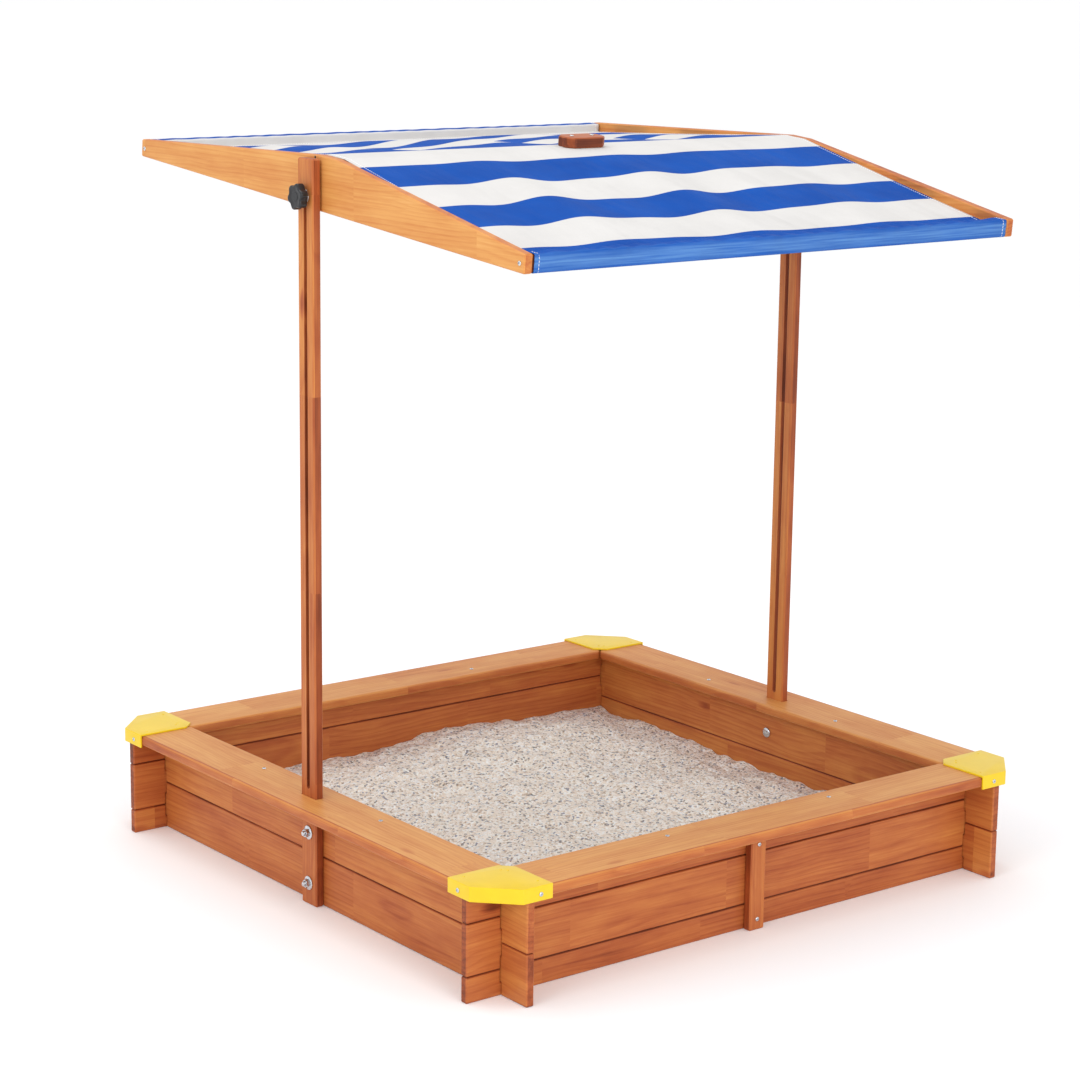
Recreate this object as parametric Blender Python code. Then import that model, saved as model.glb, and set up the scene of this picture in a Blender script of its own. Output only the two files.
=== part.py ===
"""A wooden sandbox with corner caps, filled with sand, under a canopy that slides and tilts.

Metres, +Z up. The origin is on the ground under the middle of the box. X runs along the
canopy's ridge, from the left post to the right post, and Y runs from front to back.
"""

import math

import bmesh
import bpy

# Driving dimensions: the box.
BOX_LENGTH = 1.18
CORNER_OVERHANG = 0.0665
BOARD_HEIGHT = 0.087
BOARD_THICKNESS = 0.015
BOARD_CHAMFER = 0.002
SEAT_WIDTH = 0.108
SEAT_THICKNESS = 0.018
SEAT_ROUNDING = 0.005
CORNER_CUT = 0.058
CAP_WALL = 0.003
CAP_REACH = 0.1135
CAP_LIP_DROP = 0.003
CAP_INNER_CUT = 0.02
BATTEN_WIDTH = 0.033
BATTEN_THICKNESS = 0.016

# Driving dimensions: the posts and their slots.
POST_WIDTH = 0.045
POST_THICKNESS = 0.016
POST_HEIGHT = 1.266
POST_CHAMFER = 0.0025
SLOT_WIDTH = 0.009
SLOT_LOW = 0.2065
POST_BOLT_HEIGHTS = {"lower": 0.039, "upper": 0.129}

# Driving dimensions: the canopy, in its own frame, whose origin is the pivot axis.
PIVOT_HEIGHT = 1.205
CANOPY_TILT = math.radians(5.0)
GABLE_HALF_LENGTH = 0.5625
GABLE_OUTER = 0.5205
GABLE_THICKNESS = 0.016
GABLE_BELOW_PIVOT = 0.023
GABLE_TIP_HEIGHT = 0.030
GABLE_PEAK_HEIGHT = 0.090
PEAK_PLACE = -0.030
PEAK_HALF_FLAT = 0.024
RAIL_DEPTH = 0.018
RIDGE_RAIL_HALF_WIDTH = 0.021
RIDGE_RAIL_HEIGHT = 0.016
FABRIC_THICKNESS = 0.0016
FABRIC_SEAM_DROP = 0.016
RIDGE_BLOCK_SIZE = (0.084, 0.046, 0.018)
RIDGE_BLOCK_CUT = 0.012

# Driving dimensions: fasteners and sand.
BOLT_RADIUS = 0.004
BOLT_HEAD_RADIUS = 0.010
BOLT_HEAD_HEIGHT = 0.0045
WASHER_RADIUS = 0.012
WASHER_THICKNESS = 0.0016
NUT_ACROSS_CORNERS = 0.015
NUT_HEIGHT = 0.0065
SCREW_RADIUS = 0.00175
SCREW_HEAD_RADIUS = 0.0038
SCREW_HEAD_HEIGHT = 0.002
KNOB_RADIUS = 0.022
KNOB_HUB_RADIUS = 0.011
KNOB_HUB_LENGTH = 0.0045
KNOB_STAR_LENGTH = 0.014
KNOB_LOBES = 6
LINER_THICKNESS = 0.0015
SAND_LEVEL = 0.056

# Clearances.
GAP = 0.0003
HOLE_CLEARANCE = 0.0004

# Places that follow from the driving dimensions.
HALF_BOX = BOX_LENGTH / 2
WALL_OUTER = HALF_BOX - CORNER_OVERHANG
WALL_INNER = WALL_OUTER - BOARD_THICKNESS
WALL_HEIGHT = 2 * BOARD_HEIGHT
SEAT_TOP = WALL_HEIGHT + GAP + SEAT_THICKNESS
SEAT_INNER = HALF_BOX - SEAT_WIDTH
POST_INNER = WALL_OUTER + GAP
POST_OUTER = POST_INNER + POST_THICKNESS
SLOT_HIGH = PIVOT_HEIGHT + SLOT_WIDTH / 2 + 0.0015
GABLE_INNER = GABLE_OUTER - GABLE_THICKNESS
GABLE_BOTTOM = -GABLE_BELOW_PIVOT
GABLE_TIP_TOP = GABLE_BOTTOM + GABLE_TIP_HEIGHT
GABLE_PEAK = GABLE_BOTTOM + GABLE_PEAK_HEIGHT
RAIL_INSET = FABRIC_THICKNESS + 2 * GAP
RAIL_HALF_LENGTH = GABLE_INNER - GAP
RAIL_MIDDLE = GABLE_HALF_LENGTH - RAIL_INSET - RAIL_DEPTH / 2
RAIL_MIDDLE_HEIGHT = GABLE_BOTTOM + GABLE_TIP_HEIGHT / 2

ROUND = 20
SIDES = {"front": 0, "right": 1, "back": 2, "left": 3}
CORNERS = {"front_left": 0, "front_right": 1, "back_right": 2, "back_left": 3}
ENDS = {"left": -1, "right": 1}


def clear_scene():
    for obj in list(bpy.data.objects):
        bpy.data.objects.remove(obj)


def finish_material(name, colour, roughness, metallic=0.0):
    """A Principled BSDF with one colour, given as linear red, green and blue."""
    made = bpy.data.materials.new(name)
    made.use_nodes = True
    shader = made.node_tree.nodes["Principled BSDF"]
    shader.inputs["Base Color"].default_value = (*colour, 1.0)
    shader.inputs["Roughness"].default_value = roughness
    shader.inputs["Metallic"].default_value = metallic
    return made


def new_object(name, points, faces, material, parent=None):
    """A mesh object whose faces all point out."""
    mesh = bpy.data.meshes.new(name)
    mesh.from_pydata(points, [], faces)
    shape = bmesh.new()
    shape.from_mesh(mesh)
    bmesh.ops.recalc_face_normals(shape, faces=shape.faces)
    shape.to_mesh(mesh)
    shape.free()
    obj = bpy.data.objects.new(name, mesh)
    bpy.context.scene.collection.objects.link(obj)
    obj.parent = parent
    if material:
        mesh.materials.append(material)
    return obj


def along_axis(axis, across, up, depth):
    """A point given by its place across, up and along the named axis."""
    if axis == "X":
        return (depth, across, up)
    if axis == "Y":
        return (across, depth, up)
    return (across, up, depth)


def prism(name, outline, axis, low, high, material, parent=None):
    """The outline pushed along an axis from low to high."""
    count = len(outline)
    points = [along_axis(axis, a, b, low) for a, b in outline]
    points += [along_axis(axis, a, b, high) for a, b in outline]
    faces = [tuple(range(count)), tuple(range(2 * count - 1, count - 1, -1))]
    for i in range(count):
        j = (i + 1) % count
        faces.append((i, j, count + j, count + i))
    return new_object(name, points, faces, material, parent)


def box(name, low, high, material, parent=None):
    outline = [(low[0], low[1]), (high[0], low[1]), (high[0], high[1]), (low[0], high[1])]
    return prism(name, outline, "Z", low[2], high[2], material, parent)


def full_circle(angle):
    return 1.0


def hexagon(angle):
    """How far a hexagon's side is from its centre at this angle, as a part of its corner radius."""
    return math.cos(math.pi / 6) / math.cos(angle % (math.pi / 3) - math.pi / 6)


def star(angle):
    """The lobed grip of a clamping knob."""
    return 0.92 + 0.08 * math.cos(KNOB_LOBES * angle)


def turned(name, profile, material, parent=None, segments=ROUND):
    """A shape turned about X. The profile lists (place along X, radius, section), and a zero
    radius is a pole. A profile with no pole closes on itself, which makes a ring."""
    points = []
    rings = []
    for along, radius, section in profile:
        if radius == 0:
            rings.append([len(points)])
            points.append((along, 0.0, 0.0))
            continue
        ring = []
        for k in range(segments):
            angle = 2 * math.pi * k / segments
            reach = radius * section(angle)
            ring.append(len(points))
            points.append((along, reach * math.cos(angle), reach * math.sin(angle)))
        rings.append(ring)
    pairs = list(zip(rings, rings[1:]))
    if len(rings[0]) > 1:
        pairs.append((rings[-1], rings[0]))
    faces = []
    for first, second in pairs:
        for k in range(segments):
            j = (k + 1) % segments
            corners = [first[k % len(first)], first[j % len(first)]]
            corners += [second[j % len(second)], second[k % len(second)]]
            faces.append(tuple(dict.fromkeys(corners)))
    obj = new_object(name, points, faces, material, parent)
    obj.data.shade_smooth()
    obj.data.set_sharp_from_angle(angle=math.radians(35))
    return obj


def washer(name, material, parent, low, thickness):
    """A flat ring whose near face is at low along X."""
    hole = BOLT_RADIUS + HOLE_CLEARANCE
    profile = [(low, hole), (low, WASHER_RADIUS)]
    profile += [(low + thickness, WASHER_RADIUS), (low + thickness, hole)]
    return turned(name, [(x, r, full_circle) for x, r in profile], material, parent)


def carriage_bolt(name, material, parent, head_face, tip):
    """A bolt along X: a domed head inside head_face, and a round shank out to the tip."""
    profile = [(head_face - BOLT_HEAD_HEIGHT, 0)]
    for step in (1, 2, 3):
        angle = math.radians(30 * step)
        along = head_face - BOLT_HEAD_HEIGHT * math.cos(angle)
        profile.append((along, BOLT_HEAD_RADIUS * math.sin(angle)))
    profile += [(head_face, BOLT_RADIUS), (tip - 0.001, BOLT_RADIUS)]
    profile += [(tip, BOLT_RADIUS - 0.001), (tip, 0)]
    return turned(name, [(x, r, full_circle) for x, r in profile], material, parent)


def wood_screw(name, material, parent, length):
    """A pan-head screw along X whose head sits outside X = 0 and whose point is at -length."""
    top = GAP + SCREW_HEAD_HEIGHT
    profile = [(top, 0), (top, SCREW_HEAD_RADIUS * 0.6)]
    profile += [(top - 0.0008, SCREW_HEAD_RADIUS), (GAP, SCREW_HEAD_RADIUS), (GAP, SCREW_RADIUS)]
    profile += [(-length + 0.004, SCREW_RADIUS), (-length, 0)]
    return turned(name, [(x, r, full_circle) for x, r in profile], material, parent, segments=12)


def as_cutter(obj):
    obj.hide_render = True
    obj.display_type = "WIRE"
    return obj


def round_cutter(name, radius, low, high, parent=None):
    """A cylinder along X, used to drill holes."""
    profile = [(low, 0), (low, radius), (high, radius), (high, 0)]
    return as_cutter(turned(name, [(x, r, full_circle) for x, r in profile], None, parent))


def cut(obj, cutter):
    drill = obj.modifiers.new(cutter.name, "BOOLEAN")
    drill.operation = "DIFFERENCE"
    drill.object = cutter


def ease_edges(obj, width, segments=1):
    bevel = obj.modifiers.new("edges", "BEVEL")
    bevel.width = width
    bevel.segments = segments
    bevel.limit_method = "ANGLE"


def turn_quarters(obj, quarters):
    obj.rotation_euler.z = quarters * math.pi / 2


def board_outline(low, high, low_notch, high_notch):
    """A wall board seen from its wide side, with the notches where it crosses two others."""
    bottom = low + GAP / 2 if low else 0.0
    top = high - GAP / 2
    middle = WALL_OUTER - BOARD_THICKNESS / 2
    half_notch = BOARD_THICKNESS / 2 + GAP
    edges = [-middle - half_notch, -middle + half_notch, middle - half_notch, middle + half_notch]
    outline = [(-HALF_BOX, bottom)]
    if low_notch:
        notch = low + low_notch + GAP / 2
        outline += [(edges[0], bottom), (edges[0], notch), (edges[1], notch), (edges[1], bottom)]
        outline += [(edges[2], bottom), (edges[2], notch), (edges[3], notch), (edges[3], bottom)]
    outline += [(HALF_BOX, bottom), (HALF_BOX, top)]
    if high_notch:
        notch = high - high_notch - GAP / 2
        outline += [(edges[3], top), (edges[3], notch), (edges[2], notch), (edges[2], top)]
        outline += [(edges[1], top), (edges[1], notch), (edges[0], notch), (edges[0], top)]
    return outline + [(-HALF_BOX, top)]


def build_walls(wood):
    """Boards that interlock at the corners, like a log cabin: the front and back walls start
    with a half board, so every joint in them falls halfway up a board of the side walls."""
    quarter = BOARD_HEIGHT / 4
    half = BOARD_HEIGHT / 2
    front_rows = {
        "bottom": (0.0, half, 0.0, quarter),
        "middle": (half, 3 * half, quarter, quarter),
        "top": (3 * half, WALL_HEIGHT, quarter, 0.0),
    }
    side_rows = {
        "lower": (0.0, BOARD_HEIGHT, quarter, quarter),
        "upper": (BOARD_HEIGHT, WALL_HEIGHT, quarter, quarter),
    }
    boards = {}
    for wall, outer, rows in (
        ("front", -1, front_rows),
        ("back", 1, front_rows),
        ("left", -1, side_rows),
        ("right", 1, side_rows),
    ):
        low, high = sorted((outer * WALL_INNER, outer * WALL_OUTER))
        axis = "Y" if rows is front_rows else "X"
        for row, sizes in rows.items():
            name = f"{wall}_wall_{row}_board"
            boards[name] = prism(name, board_outline(*sizes), axis, low, high, wood)
            ease_edges(boards[name], BOARD_CHAMFER)
    return boards


def seat_outline():
    """The front seat board from above, mitred at its ends and cut off under the corner caps."""
    mitre = GAP / 2 * math.sqrt(2)
    cut_meets_mitre = HALF_BOX - CORNER_CUT / 2
    half = [
        (SEAT_INNER - mitre, -SEAT_INNER),
        (cut_meets_mitre - mitre, -cut_meets_mitre),
        (HALF_BOX - CORNER_CUT, -HALF_BOX),
    ]
    return half + [(-x, y) for x, y in reversed(half)]


def build_seats(wood, posts):
    """Four boards that lie on the walls. The side ones have a slot that the post runs through."""
    for side, quarters in SIDES.items():
        seat = prism(f"{side}_seat_board", seat_outline(), "Z", WALL_HEIGHT + GAP, SEAT_TOP, wood)
        ease_edges(seat, SEAT_ROUNDING, segments=3)
        turn_quarters(seat, quarters)
        if side in posts:
            across = (POST_INNER - GAP, POST_OUTER + GAP)
            low, high = sorted(ENDS[side] * x for x in across)
            half = POST_WIDTH / 2 + GAP
            opening = box(
                f"{side}_post_opening", (low, -half, WALL_HEIGHT - 0.01), (high, half, 0.25), None
            )
            cut(seat, as_cutter(opening))


def cap_outline(outer, inner, outer_cut, inner_cut):
    """A corner cap from above, at the front left: a square with two opposite corners cut off."""
    return [
        (-outer, -inner),
        (-outer, -outer + outer_cut),
        (-outer + outer_cut, -outer),
        (-inner, -outer),
        (-inner, -inner - inner_cut),
        (-inner - inner_cut, -inner),
    ]


def build_corner_caps(plastic):
    """Moulded caps that cover the seats' corners, with a lip round the three outer sides."""
    outer = HALF_BOX + GAP + CAP_WALL
    inner = HALF_BOX - CAP_REACH
    diagonal = (GAP + CAP_WALL) * (2 - math.sqrt(2))
    shell = cap_outline(outer, inner, CORNER_CUT + diagonal, CAP_INNER_CUT)
    room_outer = HALF_BOX + GAP
    room = cap_outline(room_outer, inner - 0.05, CORNER_CUT + GAP * (2 - math.sqrt(2)), 0.03)
    bottom = WALL_HEIGHT - CAP_LIP_DROP
    hollow = prism("cap_hollow", room, "Z", bottom - 0.01, SEAT_TOP + GAP, None)
    as_cutter(hollow)
    for corner, quarters in CORNERS.items():
        name = f"{corner}_corner_cap"
        cap = prism(name, shell, "Z", bottom, SEAT_TOP + GAP + CAP_WALL, plastic)
        ease_edges(cap, 0.0008, segments=2)
        around = hollow if quarters == 0 else hollow.copy()
        if quarters:
            around.name = f"{corner}_cap_hollow"
            bpy.context.scene.collection.objects.link(around)
        turn_quarters(around, quarters)
        turn_quarters(cap, quarters)
        cut(cap, around)


def slot_outline():
    """The long slot in a post, with round ends, across Y and up Z."""
    radius = SLOT_WIDTH / 2
    outline = []
    for centre, start in ((SLOT_HIGH - radius, 0), (SLOT_LOW + radius, 180)):
        for step in range(7):
            angle = math.radians(start + 30 * step)
            outline.append((radius * math.cos(angle), centre + radius * math.sin(angle)))
    return outline


def build_posts(wood):
    posts = {}
    half = POST_WIDTH / 2
    outline = [(-half, 0.0), (half, 0.0), (half, POST_HEIGHT), (-half, POST_HEIGHT)]
    for side, end in ENDS.items():
        low, high = sorted((end * POST_INNER, end * POST_OUTER))
        post = prism(f"{side}_post", outline, "X", low, high, wood)
        ease_edges(post, POST_CHAMFER)
        slot = prism(f"{side}_slot", slot_outline(), "X", low - 0.01, high + 0.01, None)
        cut(post, as_cutter(slot))
        posts[side] = post
    return posts


def build_post_fixings(zinc, posts, boards):
    """Two carriage bolts hold each post to its wall, with the heads inside the box."""
    for side, end in ENDS.items():
        for row, height in POST_BOLT_HEIGHTS.items():
            hub = bpy.data.objects.new(f"{side}_{row}_bolt_place", None)
            bpy.context.scene.collection.objects.link(hub)
            hub.location.z = height
            hub.rotation_euler.z = 0.0 if end > 0 else math.pi
            washer_face = POST_OUTER + GAP
            nut_face = washer_face + WASHER_THICKNESS + GAP
            tip = nut_face + NUT_HEIGHT + 0.004
            stem = f"{side}_post_{row}"
            carriage_bolt(f"{stem}_bolt", zinc, hub, WALL_INNER - GAP, tip)
            washer(f"{stem}_washer", zinc, hub, washer_face, WASHER_THICKNESS)
            hole = BOLT_RADIUS + HOLE_CLEARANCE
            nut = [(nut_face, hole, full_circle), (nut_face, NUT_ACROSS_CORNERS / 2, hexagon)]
            nut_end = nut_face + NUT_HEIGHT
            nut += [(nut_end, NUT_ACROSS_CORNERS / 2, hexagon), (nut_end, hole, full_circle)]
            turned(f"{stem}_nut", nut, zinc, hub, segments=24)
            drill = round_cutter(f"{stem}_hole", hole, WALL_INNER - 0.01, POST_OUTER + 0.01, hub)
            cut(posts[side], drill)
            cut(boards[f"{side}_wall_{row}_board"], drill)


def build_battens(wood, zinc, boards):
    """A short upright batten in the middle of the front and the back wall, held by two screws."""
    half = BATTEN_WIDTH / 2
    outline = [(-half, 0.0), (half, 0.0), (half, WALL_HEIGHT), (-half, WALL_HEIGHT)]
    face = WALL_OUTER + GAP + BATTEN_THICKNESS
    screw_length = BATTEN_THICKNESS + 0.012
    for side, end in (("front", -1), ("back", 1)):
        low, high = sorted((end * (WALL_OUTER + GAP), end * face))
        batten = prism(f"{side}_batten", outline, "Y", low, high, wood)
        ease_edges(batten, BOARD_CHAMFER)
        for row, height in (("bottom", 0.019), ("top", 0.150)):
            place = bpy.data.objects.new(f"{side}_{row}_screw_place", None)
            bpy.context.scene.collection.objects.link(place)
            place.location = (0.0, end * face, height)
            place.rotation_euler.z = end * math.pi / 2
            wood_screw(f"{side}_batten_{row}_screw", zinc, place, screw_length)
            hole = SCREW_RADIUS + HOLE_CLEARANCE
            name = f"{side}_batten_{row}_hole"
            drill = round_cutter(name, hole, -screw_length - GAP, 0.01, place)
            cut(batten, drill)
            cut(boards[f"{side}_wall_{row}_board"], drill)


def gable_outline():
    """A gable board across Y and up: a straight lower edge and a low peak with a flat on top,
    a little in front of the pivot."""
    return [
        (-GABLE_HALF_LENGTH, GABLE_BOTTOM),
        (GABLE_HALF_LENGTH, GABLE_BOTTOM),
        (GABLE_HALF_LENGTH, GABLE_TIP_TOP),
        (PEAK_PLACE + PEAK_HALF_FLAT, GABLE_PEAK),
        (PEAK_PLACE - PEAK_HALF_FLAT, GABLE_PEAK),
        (-GABLE_HALF_LENGTH, GABLE_TIP_TOP),
    ]


def fabric_outline():
    """The canopy cloth seen along the ridge: over the ridge and down both slopes to half way up
    the inner face of the front and the back rail, then up over that rail, down its outer face,
    under it and up again in an open sleeve."""
    lap = GABLE_HALF_LENGTH - RAIL_INSET - RAIL_DEPTH - GAP
    cloth = FABRIC_THICKNESS
    seam = GABLE_TIP_TOP - FABRIC_SEAM_DROP
    lap_top = seam - cloth - 2 * GAP
    outer = [
        (lap - cloth, lap_top),
        (lap - cloth, GABLE_BOTTOM),
        (GABLE_HALF_LENGTH, GABLE_BOTTOM),
        (GABLE_HALF_LENGTH, GABLE_TIP_TOP),
        (lap - cloth, GABLE_TIP_TOP),
        (lap - cloth, seam),
    ]
    inner = [
        (lap, lap_top),
        (lap, GABLE_BOTTOM + cloth),
        (GABLE_HALF_LENGTH - cloth, GABLE_BOTTOM + cloth),
        (GABLE_HALF_LENGTH - cloth, GABLE_TIP_TOP - cloth),
        (lap, GABLE_TIP_TOP - cloth),
        (lap, seam - cloth),
    ]
    peak = [(PEAK_PLACE - PEAK_HALF_FLAT, GABLE_PEAK), (PEAK_PLACE + PEAK_HALF_FLAT, GABLE_PEAK)]
    outside = [(-y, z) for y, z in outer] + peak + list(reversed(outer))
    inside = [(-y, z) for y, z in inner] + [(y, z - cloth) for y, z in peak]
    return outside + list(reversed(inside + list(reversed(inner))))


def build_canopy(wood, cloth, zinc, canopy):
    """Two gables, three rails between them, the cloth round the rails and a block on the ridge."""
    gables = {}
    for side, end in ENDS.items():
        low, high = sorted((end * GABLE_INNER, end * GABLE_OUTER))
        name = f"{side}_gable_board"
        gables[side] = prism(name, gable_outline(), "X", low, high, wood, canopy)
        ease_edges(gables[side], BOARD_CHAMFER)
        hole = BOLT_RADIUS + HOLE_CLEARANCE
        name = f"{side}_pivot_hole"
        cut(gables[side], round_cutter(name, hole, low - 0.01, high + 0.01, canopy))

    screw_length = GABLE_THICKNESS + 0.022
    half_height = GABLE_TIP_HEIGHT / 2 - RAIL_INSET
    for side, end in (("front", -1), ("back", 1)):
        middle = end * RAIL_MIDDLE
        low = (-RAIL_HALF_LENGTH, middle - RAIL_DEPTH / 2, RAIL_MIDDLE_HEIGHT - half_height)
        high = (RAIL_HALF_LENGTH, middle + RAIL_DEPTH / 2, RAIL_MIDDLE_HEIGHT + half_height)
        rail = box(f"{side}_canopy_rail", low, high, wood, canopy)
        for gable_side, gable_end in ENDS.items():
            place = bpy.data.objects.new(f"{side}_{gable_side}_rail_screw_place", None)
            bpy.context.scene.collection.objects.link(place)
            place.parent = canopy
            place.location = (gable_end * GABLE_OUTER, middle, RAIL_MIDDLE_HEIGHT)
            place.rotation_euler.z = 0.0 if gable_end > 0 else math.pi
            stem = f"{gable_side}_gable_{side}"
            wood_screw(f"{stem}_screw", zinc, place, screw_length)
            hole = SCREW_RADIUS + HOLE_CLEARANCE
            drill = round_cutter(f"{stem}_hole", hole, -screw_length - GAP, 0.01, place)
            cut(gables[gable_side], drill)
            cut(rail, drill)

    top = GABLE_PEAK - RAIL_INSET
    low = (-RAIL_HALF_LENGTH, PEAK_PLACE - RIDGE_RAIL_HALF_WIDTH, top - RIDGE_RAIL_HEIGHT)
    high = (RAIL_HALF_LENGTH, PEAK_PLACE + RIDGE_RAIL_HALF_WIDTH, top)
    box("ridge_rail", low, high, wood, canopy)

    cloth_end = GABLE_INNER - 2 * GAP
    prism("canopy_fabric", fabric_outline(), "X", -cloth_end, cloth_end, cloth, canopy)

    length, width, height = RIDGE_BLOCK_SIZE
    quarter = [
        (length / 2, width / 2 - RIDGE_BLOCK_CUT),
        (length / 2 - RIDGE_BLOCK_CUT, width / 2),
    ]
    plan = quarter + [(-x, y) for x, y in reversed(quarter)]
    plan += [(-x, -y) for x, y in quarter] + [(x, -y) for x, y in reversed(quarter)]
    seat = GABLE_PEAK + GAP
    block = prism("ridge_block", plan, "Z", seat, seat + height, wood, canopy)
    block.location.y = PEAK_PLACE
    ease_edges(block, 0.002)


def build_clamps(plastic, zinc, slider):
    """At each post: a pivot bolt, a spacer between gable and post, and a washer and star knob."""
    for side, end in ENDS.items():
        place = bpy.data.objects.new(f"{side}_pivot_place", None)
        bpy.context.scene.collection.objects.link(place)
        place.parent = slider
        place.rotation_euler.z = 0.0 if end > 0 else math.pi
        washer_face = POST_OUTER + GAP
        hub_face = washer_face + WASHER_THICKNESS + GAP
        star_face = hub_face + KNOB_HUB_LENGTH
        front = star_face + KNOB_STAR_LENGTH
        tip = front - 0.005
        bore = BOLT_RADIUS + HOLE_CLEARANCE
        carriage_bolt(f"{side}_pivot_bolt", zinc, place, GABLE_INNER - GAP, tip)
        spacer_face = GABLE_OUTER + GAP
        spacer = POST_INNER - GABLE_OUTER - 2 * GAP
        washer(f"{side}_pivot_spacer", zinc, place, spacer_face, spacer)
        washer(f"{side}_knob_washer", zinc, place, washer_face, WASHER_THICKNESS)
        profile = [
            (tip + GAP, 0, full_circle),
            (tip + GAP, bore, full_circle),
            (hub_face, bore, full_circle),
            (hub_face, KNOB_HUB_RADIUS, full_circle),
            (star_face, KNOB_HUB_RADIUS, full_circle),
            (star_face, KNOB_RADIUS - 0.0015, star),
            (star_face + 0.0015, KNOB_RADIUS, star),
            (front - 0.003, KNOB_RADIUS, star),
            (front - 0.0008, KNOB_RADIUS - 0.0025, star),
            (front, KNOB_RADIUS * 0.6, full_circle),
            (front, 0, full_circle),
        ]
        turned(f"{side}_clamp_knob", profile, plastic, place, segments=8 * KNOB_LOBES)


def sand_height(x, y):
    """The raked surface: a mound against the back wall, and low waves elsewhere."""
    mound = 0.030 * math.exp(-((x - 0.12) ** 2 / 0.075 + (y - 0.46) ** 2 / 0.05))
    waves = 0.0035 * math.sin(9.0 * x + 1.0) * math.cos(7.5 * y - 0.6)
    return SAND_LEVEL + mound + waves


def build_filling(sand, cloth, cells=20):
    """A ground sheet between the walls, and the sand that lies on it."""
    half = WALL_INNER - 0.001
    box("ground_liner", (-half, -half, GAP), (half, half, GAP + LINER_THICKNESS), cloth)

    bottom = LINER_THICKNESS + 2 * GAP
    steps = [half * (2 * k / cells - 1) for k in range(cells + 1)]
    points = [(x, y, sand_height(x, y)) for y in steps for x in steps]
    side = cells + 1
    faces = []
    for row in range(cells):
        for column in range(cells):
            first = row * side + column
            faces.append((first, first + 1, first + side + 1, first + side))
    rim = list(range(cells)) + [row * side + cells for row in range(cells)]
    rim += [cells * side + cells - k for k in range(cells)]
    rim += [(cells - row) * side for row in range(cells)]
    base = len(points)
    points += [(points[k][0], points[k][1], bottom) for k in rim]
    count = len(rim)
    for k in range(count):
        j = (k + 1) % count
        faces.append((rim[k], rim[j], base + j, base + k))
    faces.append(tuple(range(base, base + count)))
    filling = new_object("sand_filling", points, faces, sand)
    filling.data.shade_smooth()
    filling.data.set_sharp_from_angle(angle=math.radians(35))
    for side_name, end in ENDS.items():
        room = box(
            f"{side_name}_bolt_head_room",
            (end * WALL_INNER - 0.008, -0.013, POST_BOLT_HEIGHTS["lower"] - 0.013),
            (end * WALL_INNER + 0.008, 0.013, POST_BOLT_HEIGHTS["lower"] + 0.013),
            None,
        )
        cut(filling, as_cutter(room))


def build():
    clear_scene()
    wood = finish_material("stained_fir", (0.55, 0.23, 0.075), 0.55)
    yellow = finish_material("yellow_plastic", (0.93, 0.80, 0.03), 0.35)
    black = finish_material("black_plastic", (0.012, 0.012, 0.014), 0.4)
    zinc = finish_material("zinc_plated_steel", (0.70, 0.71, 0.73), 0.28, 1.0)
    stripes = finish_material("striped_polyester", (0.10, 0.25, 0.70), 0.7)
    liner = finish_material("liner_fabric", (0.05, 0.05, 0.055), 0.9)
    sand = finish_material("play_sand", (0.55, 0.47, 0.38), 0.95)

    slider = bpy.data.objects.new("height_slider", None)
    bpy.context.scene.collection.objects.link(slider)
    slider.location.z = PIVOT_HEIGHT
    canopy = bpy.data.objects.new("canopy_pivot", None)
    bpy.context.scene.collection.objects.link(canopy)
    canopy.parent = slider
    canopy.rotation_euler.x = CANOPY_TILT

    boards = build_walls(wood)
    posts = build_posts(wood)
    build_post_fixings(zinc, posts, boards)
    build_seats(wood, posts)
    build_corner_caps(yellow)
    build_battens(wood, zinc, boards)
    build_filling(sand, liner)
    build_canopy(wood, stripes, zinc, canopy)
    build_clamps(black, zinc, slider)


build()
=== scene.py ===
import math

import bmesh
import bpy
from mathutils import Matrix, Vector, noise


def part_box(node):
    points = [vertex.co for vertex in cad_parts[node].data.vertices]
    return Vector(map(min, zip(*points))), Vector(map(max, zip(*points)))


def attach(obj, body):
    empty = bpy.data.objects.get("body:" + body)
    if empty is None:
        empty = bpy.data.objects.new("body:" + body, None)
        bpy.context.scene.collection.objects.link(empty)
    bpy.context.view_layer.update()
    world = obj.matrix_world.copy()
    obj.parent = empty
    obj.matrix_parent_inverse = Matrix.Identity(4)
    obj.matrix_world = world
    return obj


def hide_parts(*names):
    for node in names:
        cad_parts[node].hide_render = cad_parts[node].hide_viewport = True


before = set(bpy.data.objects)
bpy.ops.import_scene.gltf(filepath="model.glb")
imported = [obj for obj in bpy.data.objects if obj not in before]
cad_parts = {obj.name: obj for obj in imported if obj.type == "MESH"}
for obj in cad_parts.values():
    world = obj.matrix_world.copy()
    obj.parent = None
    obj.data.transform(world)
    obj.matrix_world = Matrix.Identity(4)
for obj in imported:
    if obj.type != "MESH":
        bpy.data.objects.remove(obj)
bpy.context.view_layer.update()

SANDBOX, SLIDER, CANOPY = "sandbox", "height_slider", "canopy"
SIDES = {"left": -1, "right": 1}


# ---------------------------------------------------------------- places read from the frame

def low(node):
    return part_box(node)[0]


def high(node):
    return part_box(node)[1]


TILT = math.radians(5.0)
PIVOT = Vector((0.0, 0.0, (low("left_pivot_bolt").z + high("left_pivot_bolt").z) / 2))
CANOPY_PLACE = Matrix.Translation(PIVOT) @ Matrix.Rotation(TILT, 4, "X")
POST_OUTER = high("right_post").x
WALL_INNER = low("right_wall_upper_board").x
SEAT_TOP = high("front_seat_board").z
BATTEN_FACE = high("back_batten").y
GABLE_OUTER = high("right_gable_board").x
GABLE_INNER = low("right_gable_board").x
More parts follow.
